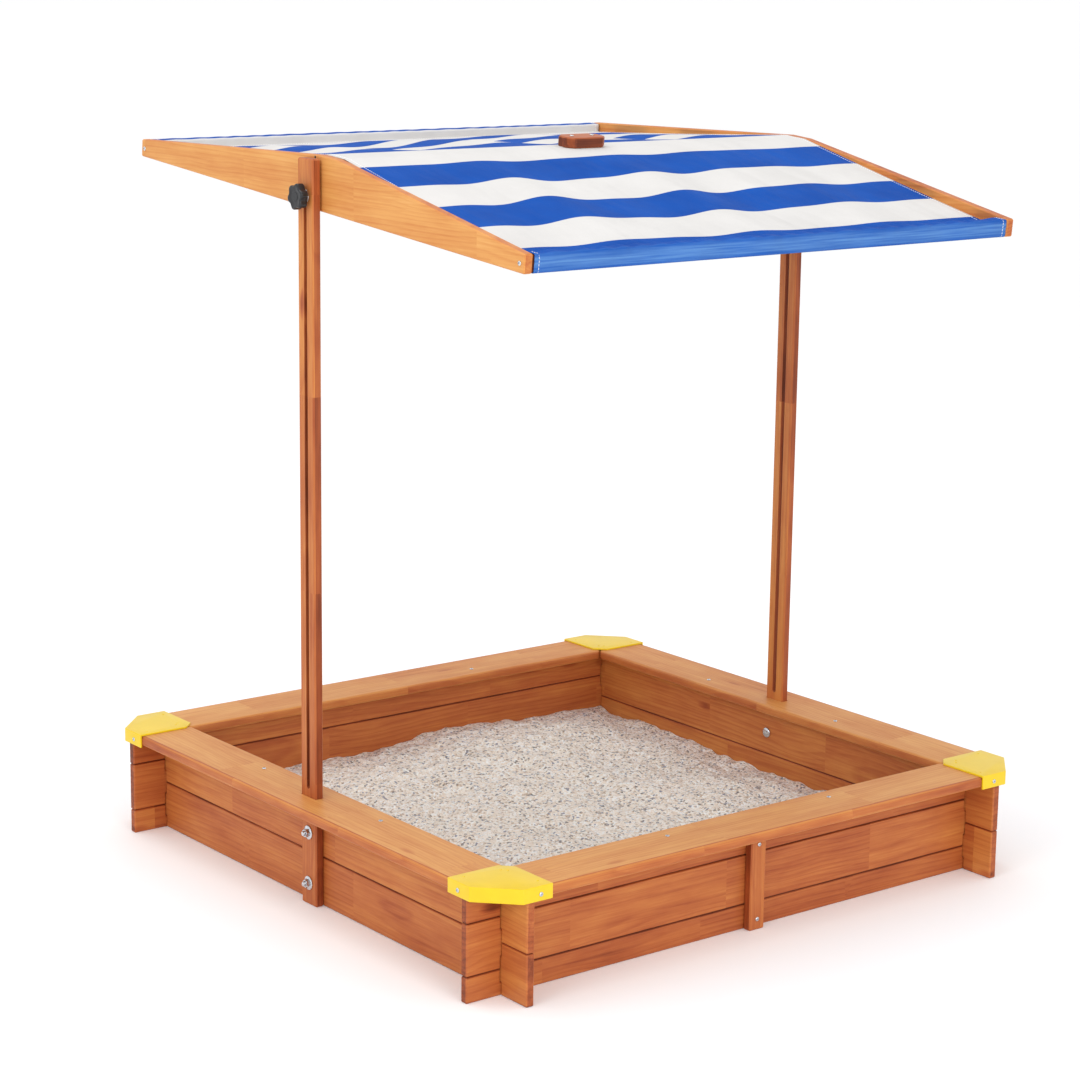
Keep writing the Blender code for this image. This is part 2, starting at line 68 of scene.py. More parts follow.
# In the canopy's own frame, where y runs along its gables and z stands off the pivot.
HALF_LENGTH, TIP_BOTTOM, TIP_TOP, PEAK = 0.5625, -0.023, 0.007, 0.067
PEAK_PLACE, PEAK_HALF_FLAT = -0.030, 0.024
BLOCK_TOP = 0.0854


# ---------------------------------------------------------------- materials

def srgb(code):
    """An sRGB hex colour as linear red, green, blue and alpha."""
    parts = [int(code[k : k + 2], 16) / 255 for k in (1, 3, 5)]
    return tuple(c / 12.92 if c <= 0.04045 else ((c + 0.055) / 1.055) ** 2.4 for c in parts) + (1.0,)


def add(tree, kind, settings=None, links=None, stops=()):
    """Adds a node. settings are its properties, and links its inputs, each a value, a socket or a
    node whose first output is meant. stops are a colour ramp's places with hex colours or greys."""
    node = tree.nodes.new("ShaderNode" + kind)
    for key, value in (settings or {}).items():
        setattr(node, key, value)
    for key, value in (links or {}).items():
        if isinstance(value, bpy.types.Node):
            value = value.outputs[0]
        if isinstance(value, bpy.types.NodeSocket):
            tree.links.new(value, node.inputs[key])
        else:
            node.inputs[key].default_value = value
    for k, (place, colour) in enumerate(stops):
        if k == len(node.color_ramp.elements):
            node.color_ramp.elements.new(1.0)
        element = node.color_ramp.elements[k]
        element.position = place
        element.color = srgb(colour) if isinstance(colour, str) else (colour, colour, colour, 1.0)
    return node


(
    PLUS, MINUS, TIMES, OVER, TIMES_PLUS, POWER, ROOT, SIZE, SIGN, FLOOR, FRACTION, SINE,
    SMALLER, CYCLE, LESS, GREATER,
) = (
    {"operation": operation}
    for operation in (
        "ADD", "SUBTRACT", "MULTIPLY", "DIVIDE", "MULTIPLY_ADD", "POWER", "SQRT", "ABSOLUTE", "SIGN",
        "FLOOR", "FRACT", "SINE", "MINIMUM", "FLOORED_MODULO", "LESS_THAN", "GREATER_THAN",
    )
)
MIX = {"data_type": "RGBA"}


def material(name, **constants):
    """A Principled BSDF with its constants set on its own sockets."""
    made = bpy.data.materials.new(name)
    made.use_nodes = True
    shader = made.node_tree.nodes["Principled BSDF"]
    for key, value in constants.items():
        shader.inputs[key.replace("_", " ")].default_value = value
    return made, made.node_tree, shader.inputs


def stained_fir(name, along, across, pitch, start, tone=0.58):
    """Planed fir under a transparent orange-brown stain and a thin satin varnish: soft rings and
    fibres show through it, and the boards are finger-jointed from shorter lengths. along and
    across are the axes of the grain and of the board's width, and tone is how deep the stain is
    drawn; in the seats and the gables it also holds painted light and shade."""
    made, tree, finish = material(
        name, Roughness=0.5, Coat_Weight=0.06, Coat_Roughness=0.35, Specular_IOR_Level=0.28
    )
    coordinates = add(tree, "TexCoord").outputs
    axes = add(tree, "SeparateXYZ", links={0: coordinates["Object"]}).outputs
    deep = ({"X", "Y", "Z"} - {along, across}).pop()
    run, width, depth = axes[along], axes[across], axes[deep]

    # Each board has its own seed, so the grain stops at its edges and at its finger joints.
    rows = add(tree, "Math", MINUS, {0: width, 1: start})
    rows = add(tree, "Math", OVER, {0: rows, 1: pitch})
    row = add(tree, "Math", FLOOR, {0: rows})
    side = add(tree, "Math", PLUS, {0: depth, 1: 0.11})
    side = add(tree, "Math", SIGN, {0: side})
    row_seed = add(tree, "Math", TIMES, {0: row, 1: 7.31})
    side_seed = add(tree, "Math", TIMES, {0: side, 1: 3.17})
    seed = add(tree, "Math", PLUS, {0: row_seed, 1: side_seed})
    length = add(tree, "Math", TIMES_PLUS, {0: seed, 1: 0.173, 2: run})
    length = add(tree, "Math", OVER, {0: length, 1: 0.33})
    length = add(tree, "Math", FLOOR, {0: length})
    pair = add(tree, "CombineXYZ", links={0: length, 1: seed})
    lot = add(tree, "TexWhiteNoise", {"noise_dimensions": "3D"}, {"Vector": pair})
    draws = add(tree, "SeparateXYZ", links={0: lot.outputs["Color"]}).outputs
    shift = add(tree, "Math", TIMES_PLUS, {0: draws[0], 1: 9.0, 2: seed})

    # A knot's core is up to 8 mm wide and 24 mm long, and its fringe fades out at 20 mm across. A
    # board has about one to the metre, and the rings bend round it.
    knot_run = add(tree, "Math", TIMES, {0: run, 1: 4.2})
    knot_width = add(tree, "Math", TIMES, {0: width, 1: 12.0})
    spots = add(tree, "CombineXYZ", links={0: knot_run, 1: knot_width, 2: shift})
    cell = add(tree, "TexVoronoi", {"feature": "F1"}, {"Vector": spots, "Scale": 1.0}).outputs
    pick = add(tree, "SeparateXYZ", links={0: cell["Color"]})
    none_here = add(tree, "Math", GREATER, {0: 0.25, 1: pick})
    knot_far = add(tree, "Math", PLUS, {0: cell["Distance"], 1: none_here})
    knot = add(tree, "ValToRGB", links={0: knot_far}, stops=[(0.0, 1.0), (0.05, 0.7), (0.12, 0.0)])
    bend = add(tree, "ValToRGB", links={0: knot_far}, stops=[(0.0, 1.0), (0.40, 0.0)])

    # Patterns drawn out along the grain, in spots per metre along it and across it. The rings
    # wander a little. Fibres are drawn 2 to 4 mm wide, coarser than real ones, so that they show.
    # The stain sinks in unevenly, in patches and in long streaks.
    patterns = []
    for along_scale, across_scale, detail, roughness in (
        (1.5, 8.0, 2.0, 0.5), (7.0, 300.0, 4.0, 0.7), (6.0, 18.0, 4.0, 0.6), (2.2, 60.0, 3.0, 0.55),
    ):
        place = {0: add(tree, "Math", TIMES_PLUS, {0: run, 1: along_scale, 2: shift})}
        place[1] = add(tree, "Math", TIMES, {0: width, 1: across_scale})
        place[2] = add(tree, "Math", TIMES, {0: depth, 1: across_scale})
        where = add(tree, "CombineXYZ", links=place)
        noise_links = {"Vector": where, "Scale": 1.0, "Detail": detail, "Roughness": roughness}
        patterns.append(add(tree, "TexNoise", links=noise_links))
    wander, fibre, patch, streak = patterns

    # Rings lie about 8.5 mm apart, wider near the heart and uneven where they wander.
    heart = add(tree, "Math", MINUS, {0: width, 1: 0.08})
    heart = add(tree, "Math", TIMES_PLUS, {0: draws[1], 1: 0.16, 2: heart})
    heart = add(tree, "Math", TIMES, {0: heart, 1: heart})
    tilted = add(tree, "Math", TIMES_PLUS, {0: draws[2], 1: 0.004, 2: 0.0004})
    radius = add(tree, "Math", PLUS, {0: heart, 1: tilted})
    radius = add(tree, "Math", ROOT, {0: radius})
    phase = add(tree, "Math", TIMES_PLUS, {0: bend, 1: 0.012, 2: radius})
    phase = add(tree, "Math", TIMES_PLUS, {0: wander, 1: 0.075, 2: phase})
    phase = add(tree, "Math", OVER, {0: phase, 1: 0.0085})
    phase = add(tree, "Math", FRACTION, {0: phase})
    late_wood = [(0.0, 0.1), (0.5, 0.25), (0.84, 1.0), (0.93, 0.6), (1.0, 0.1)]
    ring = add(tree, "ValToRGB", links={0: phase}, stops=late_wood)

    # Stain gathers in the grooves between the boards, and they are drawn darker still as painted shade.
    from_edge = add(tree, "Math", FRACTION, {0: rows})
    from_edge = add(tree, "Math", MINUS, {0: from_edge, 1: 0.5})
    from_edge = add(tree, "Math", SIZE, {0: from_edge})
    from_edge = add(tree, "Math", MINUS, {0: 0.5, 1: from_edge})
    from_edge = add(tree, "Math", TIMES, {0: from_edge, 1: pitch / 0.01})
    groove_stain_and_shade = add(tree, "ValToRGB", links={0: from_edge}, stops=[(0.03, 1.0), (0.24, 0.0)])

    # End grain drinks more of it, and so do the sawn edges, though less.
    facing = add(tree, "SeparateXYZ", links={0: coordinates["Normal"]}).outputs
    cut_faces = []
    for axis in (along, across):
        cut_face = add(tree, "Math", SIZE, {0: facing[axis]})
        cut_faces.append(add(tree, "Math", POWER, {0: cut_face, 1: 4.0}))
    end, edge = cut_faces

    stain = tone - 0.58
    for share, part in (
        (0.09, ring), (0.32, fibre), (0.42, patch), (0.32, streak), (0.11, draws[0]),
        (0.30, groove_stain_and_shade), (0.40, knot), (0.26, end), (0.24, edge),
    ):
        stain = add(tree, "Math", TIMES_PLUS, {0: part, 1: share, 2: stain})
    shades = [
        (0.0, "#E6B06C"), (0.22, "#DB9C55"), (0.42, "#CC8342"), (0.58, "#BA6A35"),
        (0.74, "#A55329"), (0.88, "#853D1C"), (1.0, "#662C13"),
    ]
    colour = add(tree, "ValToRGB", links={0: stain}, stops=shades)
    tree.links.new(colour.outputs[0], finish["Base Color"])
    rough = add(tree, "Math", TIMES_PLUS, {0: patch, 1: 0.15, 2: 0.32})
    rough = add(tree, "Math", TIMES_PLUS, {0: fibre, 1: 0.22, 2: rough})
    tree.links.new(rough.outputs[0], finish["Roughness"])
    relief = add(tree, "Math", TIMES_PLUS, {0: ring, 1: 0.4, 2: fibre})
    bump = add(tree, "Bump", links={"Strength": 0.2, "Distance": 0.0006, "Height": relief})
    tree.links.new(bump.outputs[0], finish["Normal"])
    return made


def striped_polyester(name, ridge, pitch, front_hem, back_hem, sheen_band_run):
    """Woven polyester, dyed in wide bands and lightly coated: even strong colour, hardly any
    gloss and a plain weave. UV runs in metres, across the cloth and along it. The sleeve's face
    over the front rail is painted paler in long streaks about a given run: a painted sheen and
    reflection, where the creased cloth catches the light."""
    made, tree, finish = material(name, Roughness=0.75, Specular_IOR_Level=0.10)
    flat = add(tree, "TexCoord").outputs["UV"]
    uv = add(tree, "SeparateXYZ", links={0: flat}).outputs
    across, run = uv[0], uv[1]

    # Bands alternate from the ridge, and both hems are blue.
    band = add(tree, "Math", MINUS, {0: run, 1: ridge})
    band = add(tree, "Math", OVER, {0: band, 1: pitch})
    band = add(tree, "Math", FLOOR, {0: band})
    band = add(tree, "Math", CYCLE, {0: band, 1: 2.0})
    blue_band = add(tree, "Math", LESS, {0: band, 1: 0.5})
    in_front = add(tree, "Math", LESS, {0: run, 1: front_hem})
    at_back = add(tree, "Math", GREATER, {0: run, 1: back_hem})
    hems = add(tree, "Math", PLUS, {0: in_front, 1: at_back})
    blue_here = add(tree, "Math", PLUS, {0: blue_band, 1: hems})
    blue_here = add(tree, "Math", SMALLER, {0: blue_here, 1: 1.0})
    drift = add(tree, "TexNoise", links={"Vector": flat, "Scale": 9.0, "Detail": 4.0})
    dyed = add(tree, "ValToRGB", links={0: drift}, stops=[(0.3, "#07449A"), (0.7, "#0B50AB")])
    white = add(tree, "ValToRGB", links={0: drift}, stops=[(0.3, "#CFCDCB"), (0.7, "#D6D4D2")])

    # Streaks of painted sheen lie along the rail, where the sleeve's creased face catches the light.
    drawn = {0: add(tree, "Math", TIMES, {0: across, 1: 7.0})}
    drawn[1] = add(tree, "Math", TIMES, {0: run, 1: 260.0})
    drawn = add(tree, "CombineXYZ", links=drawn)
    streaks = add(tree, "TexNoise", links={"Vector": drawn, "Scale": 1.0, "Detail": 3.0})
    streaks = add(tree, "Math", TIMES_PLUS, {0: streaks, 1: 1.4, 2: -0.2})
    off = add(tree, "Math", MINUS, {0: run, 1: sheen_band_run})
    off = add(tree, "Math", SIZE, {0: off})
    off = add(tree, "Math", OVER, {0: off, 1: 0.03})
    fade = [(0.0, 1.0), (0.25, 0.8), (0.5, 0.25), (0.62, 0.0)]
    painted_sheen = add(tree, "ValToRGB", links={0: off}, stops=fade)
    painted_sheen = add(tree, "Math", TIMES, {0: painted_sheen, 1: streaks})
    blue = add(tree, "Mix", MIX, {0: painted_sheen, 6: dyed, 7: srgb("#6A99CE")})
    colour = add(tree, "Mix", MIX, {0: blue_here, 6: white, 7: blue.outputs[2]})
    tree.links.new(colour.outputs[2], finish["Base Color"])

    # Threads are drawn 1.2 mm apart, twice as coarse as real ones.
    threads = []
    for way in (across, run):
        thread = add(tree, "Math", TIMES, {0: way, 1: 2 * math.pi / 0.0012})
        threads.append(add(tree, "Math", SINE, {0: thread}))
    weave = add(tree, "Math", TIMES, {0: threads[0], 1: threads[1]})
    # Soft creases run down the slope from the ridge.
    slack = {0: add(tree, "Math", TIMES, {0: across, 1: 13.0})}
    slack[1] = add(tree, "Math", TIMES, {0: run, 1: 4.0})
    slack = add(tree, "CombineXYZ", links=slack)
    creases = add(tree, "TexNoise", links={"Vector": slack, "Scale": 1.0, "Detail": 2.5})
    soft = add(tree, "Bump", links={"Strength": 0.6, "Distance": 0.02, "Height": creases})
    fine = {"Strength": 0.12, "Distance": 0.0003, "Height": weave, "Normal": soft}
    bump = add(tree, "Bump", links=fine)
    tree.links.new(bump.outputs[0], finish["Normal"])
    return made


def play_sand(name):
    """Washed coarse play sand: pale quartz with brown, slate and black grains, all matt. Grains
    are drawn 2 to 4 mm across, coarser than real ones, so that they show."""
    made, tree, finish = material(name, Roughness=0.95, Specular_IOR_Level=0.25)
    place = add(tree, "TexCoord").outputs["Object"]
    grains, mixed = [], []
    for scale, shares in (
        (250.0, [(0.0, "#34323A"), (0.045, "#66718A"), (0.09, "#C0A68C"), (0.19, "#EFE0CE"),
                 (0.5, "#FBF2E6"), (0.78, "#FFFFFC")]),
        (430.0, [(0.0, "#4A4851"), (0.05, "#C9B297"), (0.16, "#F0E2D0"), (0.55, "#FBF3E8"),
                 (0.85, "#FFFFFC")]),
    ):
        grain = add(tree, "TexVoronoi", {"feature": "F1"}, {"Vector": place, "Scale": scale}).outputs
        pick = add(tree, "SeparateXYZ", links={0: grain["Color"]})
        sort = add(tree, "ValToRGB", links={0: pick}, stops=shares)
        sort.color_ramp.interpolation = "CONSTANT"
        grains.append(grain)
        mixed.append(sort)
    sorts = add(tree, "Mix", MIX, {0: 0.32, 6: mixed[0], 7: mixed[1]})
    damp = add(tree, "TexNoise", links={"Vector": place, "Scale": 6.0, "Detail": 3.0})
    shade = add(tree, "ValToRGB", links={0: damp}, stops=[(0.35, 0.95), (0.65, 1.0)])
    multiply = {"data_type": "RGBA", "blend_type": "MULTIPLY"}
    colour = add(tree, "Mix", multiply, {0: 1.0, 6: sorts.outputs[2], 7: shade})
    tree.links.new(colour.outputs[2], finish["Base Color"])
    lumpy = {"Vector": place, "Scale": 34.0, "Detail": 6.0, "Roughness": 0.62}
    clods = add(tree, "TexNoise", links=lumpy)
    heaped = add(tree, "Bump", links={"Strength": 0.75, "Distance": 0.020, "Height": clods})
    rounded_grains = {
        "Strength": 0.7, "Distance": 0.0022, "Height": grains[0]["Distance"], "Normal": heaped,
    }
    bump = add(tree, "Bump", {"invert": True}, rounded_grains)
    tree.links.new(bump.outputs[0], finish["Normal"])
    return made


def skinned(name, scale, detail, colours=None, gloss=None, relief=None, **constants):
    """A material with a fine skin of scale spots per metre, which shades its colour and its
    roughness and stands up as relief, given as a strength and a depth in metres."""
    made, tree, finish = material(name, **constants)
    place = add(tree, "TexCoord").outputs["Object"]
    skin = add(tree, "TexNoise", links={"Vector": place, "Scale": scale, "Detail": detail})
    for stops, socket in ((colours, "Base Color"), (gloss, "Roughness")):
        if stops:
            shade = add(tree, "ValToRGB", links={0: skin}, stops=stops)
            tree.links.new(shade.outputs[0], finish[socket])
    if relief:
        bump = add(tree, "Bump", links={"Strength": relief[0], "Distance": relief[1], "Height": skin})
        tree.links.new(bump.outputs[0], finish["Normal"])
    return made


def moulded_polyethylene(name, light, dark):
    """Injection-moulded polyethylene: full bright colour, a waxy satin skin with a fine spark
    texture, and slight flow marks."""
    made = skinned(
        name, 900.0, 2.0, gloss=[(0.3, 0.28), (0.7, 0.42)], relief=(0.10, 0.0004),
        Roughness=0.42, Subsurface_Weight=0.05, Subsurface_Scale=0.004,
    )
    tree = made.node_tree
    place = add(tree, "TexCoord").outputs["Object"]
    flow = add(tree, "TexNoise", links={"Vector": place, "Scale": 18.0, "Detail": 3.0})
    marks = add(tree, "ValToRGB", links={0: flow}, stops=[(0.3, dark), (0.7, light)])
    tree.links.new(marks.outputs[0], tree.nodes["Principled BSDF"].inputs["Base Color"])
    return made


def black_nylon(name):
    """Glass-filled nylon, moulded black: near-black grey with a semi-gloss skin, lighter where
    handling has scuffed it."""
    return skinned(
        name, 700.0, 3.0, [(0.3, "#111216"), (0.75, "#1B1D22")], [(0.3, 0.28), (0.7, 0.42)],
        (0.12, 0.0003), Roughness=0.35,
    )


def bright_zinc(name):
    """Bright zinc plate on turned or pressed steel: silver with a faint blue passivation, small
    smears in the gloss."""
    return skinned(
        name, 240.0, 4.0, [(0.3, "#BFC4CB"), (0.7, "#DCDEE0")], [(0.3, 0.18), (0.75, 0.36)],
        (0.06, 0.0002), Metallic=1.0, Roughness=0.25,
    )


def spun_liner(name):
    """Spun-bonded polypropylene ground sheet: dull charcoal with matted fibres."""
    matted = [(0.35, "#26272A"), (0.7, "#3C3E42")]
    return skinned(name, 420.0, 4.0, matted, relief=(0.3, 0.0005), Roughness=0.95)


def sewing_thread(name, dark, light):
    """Bonded polyester thread: a slight gloss on a plain dyed filament."""
    return skinned(name, 1500.0, 1.0, [(0.3, dark), (0.7, light)], Roughness=0.5, Sheen_Weight=0.2)


BOARD = 0.087
FIR_X = stained_fir("stained_fir_front_and_back", "X", "Z", BOARD, -BOARD / 2)
FIR_Y = stained_fir("stained_fir_left_and_right", "Y", "Z", BOARD, 0.0, tone=0.50)
# The seats are drawn in a lighter tone than the walls: painted light, for the light that falls on their
# tops.
SEAT_X = stained_fir("stained_fir_seats_front_and_back", "X", "Y", 0.13, -0.065, tone=0.31)
SEAT_Y = stained_fir("stained_fir_seats_left_and_right", "Y", "X", 0.13, -0.065, tone=0.31)
UPRIGHT_SIDE = stained_fir("stained_fir_posts", "Z", "Y", 0.2, -0.1, tone=0.50)
UPRIGHT_FRONT = stained_fir("stained_fir_battens", "Z", "X", 0.2, -0.1, tone=0.46)
# The gables are drawn in two tones: the left copy is paler as painted light on its lit outer face, and the
# right copy darker as painted shade on its inner face.
LEFT_GABLE_FIR = stained_fir("stained_fir_left_gable", "Y", "Z", 0.3, 1.05, tone=0.21)
RIGHT_GABLE_FIR = stained_fir("stained_fir_right_gable", "Y", "Z", 0.3, 1.05, tone=0.36)
RAIL_FIR = stained_fir("stained_fir_rails", "X", "Y", 0.3, -0.15, tone=0.68)
YELLOW = moulded_polyethylene("moulded_polyethylene_yellow", "#EECA06", "#E6C204")
ZINC = bright_zinc("bright_zinc")
WHITE_THREAD = sewing_thread("white_polyester_thread", "#E6E7EA", "#FAFAFA")
BLUE_THREAD = sewing_thread("blue_polyester_thread", "#163F8F", "#1D4DA8")
FINISHES = {
    "zinc_plated_steel": ZINC, "yellow_plastic": YELLOW, "black_plastic": black_nylon("black_nylon"),
    "play_sand": play_sand("washed_play_sand"), "liner_fabric": spun_liner("spun_polypropylene_liner"),
}


# ---------------------------------------------------------------- pieces

def scratch(name, mesh):
    """An object in the scene that rides on nothing yet."""
    obj = bpy.data.objects.new(name, mesh)
    bpy.context.scene.collection.objects.link(obj)
    return obj


def piece(name, mesh, body, slot, nodes=(), place=None, finish=None):
    """Puts a mesh in the scene on its body. It stands for nodes, and takes its slot's finish unless
    it has one of its own."""
    obj = scratch(name, mesh)
    if not mesh.materials:
        mesh.materials.append(finish or FINISHES[slot])
    if place is not None:
        obj.matrix_world = place
    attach(obj, body)
    if nodes:
        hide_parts(*nodes)
    return obj


def mesh_from(name, points, faces, smooth=40):
    mesh = bpy.data.meshes.new(name)
    mesh.from_pydata(points, [], faces)
    shape = bmesh.new()
    shape.from_mesh(mesh)
    bmesh.ops.recalc_face_normals(shape, faces=shape.faces)
    shape.to_mesh(mesh)
    shape.free()
    mesh.shade_smooth()
    mesh.set_sharp_from_angle(angle=math.radians(smooth))
    return mesh


def turned(name, profile, segments=48, section=None, smooth=40):
    """A closed shape turned about Z from (along, radius) points. A zero radius is a pole, and a
    profile with no pole closes on itself. section gives the reach at an angle and a place."""
    points, rings, faces = [], [], []
    for along, radius in profile:
        if radius == 0:
            rings.append([len(points)] * segments)
            points.append((0.0, 0.0, along))
            continue
        rings.append(list(range(len(points), len(points) + segments)))
        for k in range(segments):
            angle = 2 * math.pi * k / segments
            reach = section(angle, along, radius) if section else radius
            points.append((reach * math.cos(angle), reach * math.sin(angle), along))
    pairs = list(zip(rings, rings[1:]))
    if profile[0][1] > 0:
        pairs.append((rings[-1], rings[0]))
    for first, second in pairs:
        for k in range(segments):
            j = (k + 1) % segments
            faces.append(tuple(dict.fromkeys((first[k], first[j], second[j], second[k]))))
    return mesh_from(name, points, faces, smooth)


def outward(location, direction, spin=0.0):
    """The place of a fastener whose own Z points in direction."""
    turn = Vector(direction).to_track_quat("Z", "Y").to_matrix().to_4x4()
    return Matrix.Translation(location) @ turn @ Matrix.Rotation(spin, 4, "Z")


def apply_modifiers(obj):
    """The mesh of obj with its modifiers applied. The object goes."""
    graph = bpy.context.evaluated_depsgraph_get()
    mesh = bpy.data.meshes.new_from_object(obj.evaluated_get(graph))
    bpy.data.objects.remove(obj)
    return mesh


def prism_mesh(name, outline, bottom, top):
    count = len(outline)
    points = [(x, y, bottom) for x, y in outline] + [(x, y, top) for x, y in outline]
    faces = [tuple(reversed(range(count))), tuple(range(count, 2 * count))]
    faces += [(k, (k + 1) % count, count + (k + 1) % count, count + k) for k in range(count)]
    return mesh_from(name, points, faces, smooth=30)


def carve(obj, cutters):
    for cutter in cutters:
        carving = obj.modifiers.new("carve", "BOOLEAN")
        carving.operation = "DIFFERENCE"
        carving.solver = "EXACT"
        carving.object = cutter
    mesh = apply_modifiers(obj)
    for cutter in cutters:
        bpy.data.objects.remove(cutter)
    return mesh


def dome(radius, height, rim, steps=9):
    """The profile of a shallow dome with a small rounded rim, from its top down to its edge."""
    profile = [(height, 0.0)]
    for k in range(1, steps):
        angle = math.pi / 2 * k / steps
        profile.append((rim + (height - rim) * math.cos(angle), radius * math.sin(angle)))
    profile += [(rim, radius), (rim * 0.3, radius - 0.0001), (0.0, radius - 0.0004)]
    return profile


# Carriage bolts, washers and nuts of size M8. Faces that meet stand TOUCH apart.

SHANK = 0.0039
PLAIN_WASHER = 0.0016
TOUCH = 0.0003


def thread_section(pitch, depth):
    """The reach of a screw thread: a ridge that climbs one pitch a turn."""
    def section(angle, along, radius):
        phase = (along / pitch - angle / (2 * math.pi)) % 1.0
        return radius - depth * abs(2 * phase - 1)
    return section


def bolt_mesh(name, head_radius, head_height, shank, length, threaded):
    """A carriage bolt along Z: its dome stands below Z = 0, its thread ends at Z = length."""
    head = [(-z, r) for z, r in dome(head_radius, head_height, 0.0009)]
    start = length - threaded
    profile = head + [(0.0, shank), (start, shank)]
    steps = round(threaded / 0.0003)
    thread = [(start + threaded * k / steps, shank) for k in range(1, steps + 1)]
    ridge = thread_section(0.00125, 0.0005)

    def section(angle, along, radius):
        return ridge(angle, along, radius) if along > start + 0.0002 and radius == shank else radius

    profile += thread + [(length + 0.0003, shank - 0.0008), (length + 0.0003, 0.0)]
    return turned(name, profile, 48, section, smooth=50)


def washer_mesh(name, outer, inner, thickness):
    ease = 0.0002
    profile = [
        (0.0, inner), (0.0, outer - ease), (ease, outer), (thickness - ease, outer),
        (thickness, outer - ease), (thickness, inner),
    ]
    return turned(name, profile, 64, smooth=50)


def nut_mesh(name, corner, inner, height):
    """A hexagon nut with its corners turned off to cones at both ends."""
    flat = corner * math.cos(math.pi / 6)

    def section(angle, along, radius):
        hexagon = flat / math.cos(angle % (math.pi / 3) - math.pi / 6)
        return min(radius, hexagon) if radius > inner + 0.001 else radius

    profile = [(0.0, inner), (0.0, flat * 0.97)]
    for k in range(5):
        profile.append((0.0001 + 0.0009 * k / 4, flat * 0.97 + (corner - flat * 0.97) * k / 4))
    for k in range(5):
        profile.append((height - 0.0010 + 0.0009 * k / 4, corner - (corner - flat * 0.97) * k / 4))
    profile += [(height, flat * 0.97), (height, inner + 0.0005), (height - 0.0005, inner)]
    return turned(name, profile, 96, section, smooth=25)


def screw_mesh():
    """A pan-head wood screw's head with a cross recess, standing on Z = 0."""
    profile = dome(0.0038, 0.0021, 0.0006) + [(-0.004, 0.0015), (-0.004, 0.0)]
    head = scratch("screw_head", turned("screw_head", profile))
    arms = []
    for spin in (0.0, math.pi / 2):
        outline = [(-0.0019, -0.00042), (0.0019, -0.00042), (0.0019, 0.00042), (-0.0019, 0.00042)]
        arm = scratch("recess", prism_mesh("recess", outline, 0.0006, 0.004))
        arm.rotation_euler.z = spin
        arms.append(arm)
    mesh = carve(head, arms)
    mesh.name = "wood_screw"
    mesh.set_sharp_from_angle(angle=math.radians(35))
    mesh.materials.clear()
    mesh.materials.append(ZINC)
    return mesh


SCREW = screw_mesh()


def steel(name, mesh, body, place, nodes=()):
    piece(name, mesh, body, "zinc_plated_steel", nodes, place)


def screw(name, location, direction, body, nodes=(), place=None, spin=0.4):
    spot = outward(location, direction, spin)
    steel(name, SCREW, body, place @ spot if place else spot, nodes)


def washer(name, end, face, height, body, node, thickness=PLAIN_WASHER):
    """A washer on the plane x = face of the side that end names, round a bolt at height."""
    ring = washer_mesh(name, 0.012, 0.0044, thickness)
    steel(name, ring, body, outward((end * face, 0.0, height), (end, 0.0, 0.0)), [node])


def post_fixings():
    """Two carriage bolts through each post and its walls, with a washer and a nut outside."""
    for side, end in SIDES.items():
        for row in ("lower", "upper"):
            stem = f"{side}_post_{row}"
            near, far = low(f"{stem}_bolt"), high(f"{stem}_bolt")
            height = (near.z + far.z) / 2
            tip = max(abs(near.x), abs(far.x))
            inner = WALL_INNER - TOUCH
            name = f"{stem}_carriage_bolt"
            bolt = bolt_mesh(name, 0.0099, 0.0045, SHANK, tip - inner - TOUCH, 0.018)
            place = outward((end * inner, 0.0, height), (end, 0.0, 0.0), 0.3)
            steel(name, bolt, SANDBOX, place, [f"{stem}_bolt"])
            face = POST_OUTER + TOUCH
            washer(f"{stem}_plain_washer", end, face, height, SANDBOX, f"{stem}_washer")
            nut = nut_mesh(f"{stem}_hex_nut", 0.0075, 0.0044, 0.0065)
            spin = 0.2 if row == "upper" else 0.65
            place = outward((end * (face + PLAIN_WASHER + TOUCH), 0.0, height), (end, 0.0, 0.0), spin)
            steel(f"{stem}_hex_nut", nut, SANDBOX, place, [f"{stem}_nut"])


def star_knob_mesh():
    """A six-lobed clamping knob with a hub, rounded lobes and a dished face. Z = 0 is its back."""
    lobes, radius, hub, back, front = 6, 0.022, 0.011, 0.0045, 0.0185

    def section(angle, along, reach):
        if along < back + 0.0001 and reach <= hub + 0.0001:
            return reach
        hollow = (0.5 - 0.5 * math.cos(lobes * angle)) ** 1.15
        share = max(0.0, min(1.0, (reach - 0.009) / 0.010))
        return reach * (1 - 0.185 * hollow * share)

    profile = [(0.0045, 0.0044), (0.0, 0.0044), (0.0, hub - 0.0005), (0.0005, hub), (back, hub)]
    for k in range(7):
        angle = math.pi / 2 * k / 6
        profile.append((back + 0.0022 * (1 - math.cos(angle)), radius - 0.0022 + 0.0022 * math.sin(angle)))
    for k in range(9):
        angle = math.pi / 2 * k / 8
        profile.append((front - 0.0030 * (1 - math.sin(angle)), radius - 0.0030 + 0.0030 * math.cos(angle)))
    profile += [(front - 0.0002, 0.0160), (front - 0.0010, 0.0125), (front - 0.0010, 0.0085)]
    profile += [(front - 0.0003, 0.0078), (front - 0.0003, 0.0)]
    profile.insert(0, (0.0045, 0.0))
    return turned("star_knob", profile, 180, section, smooth=32)


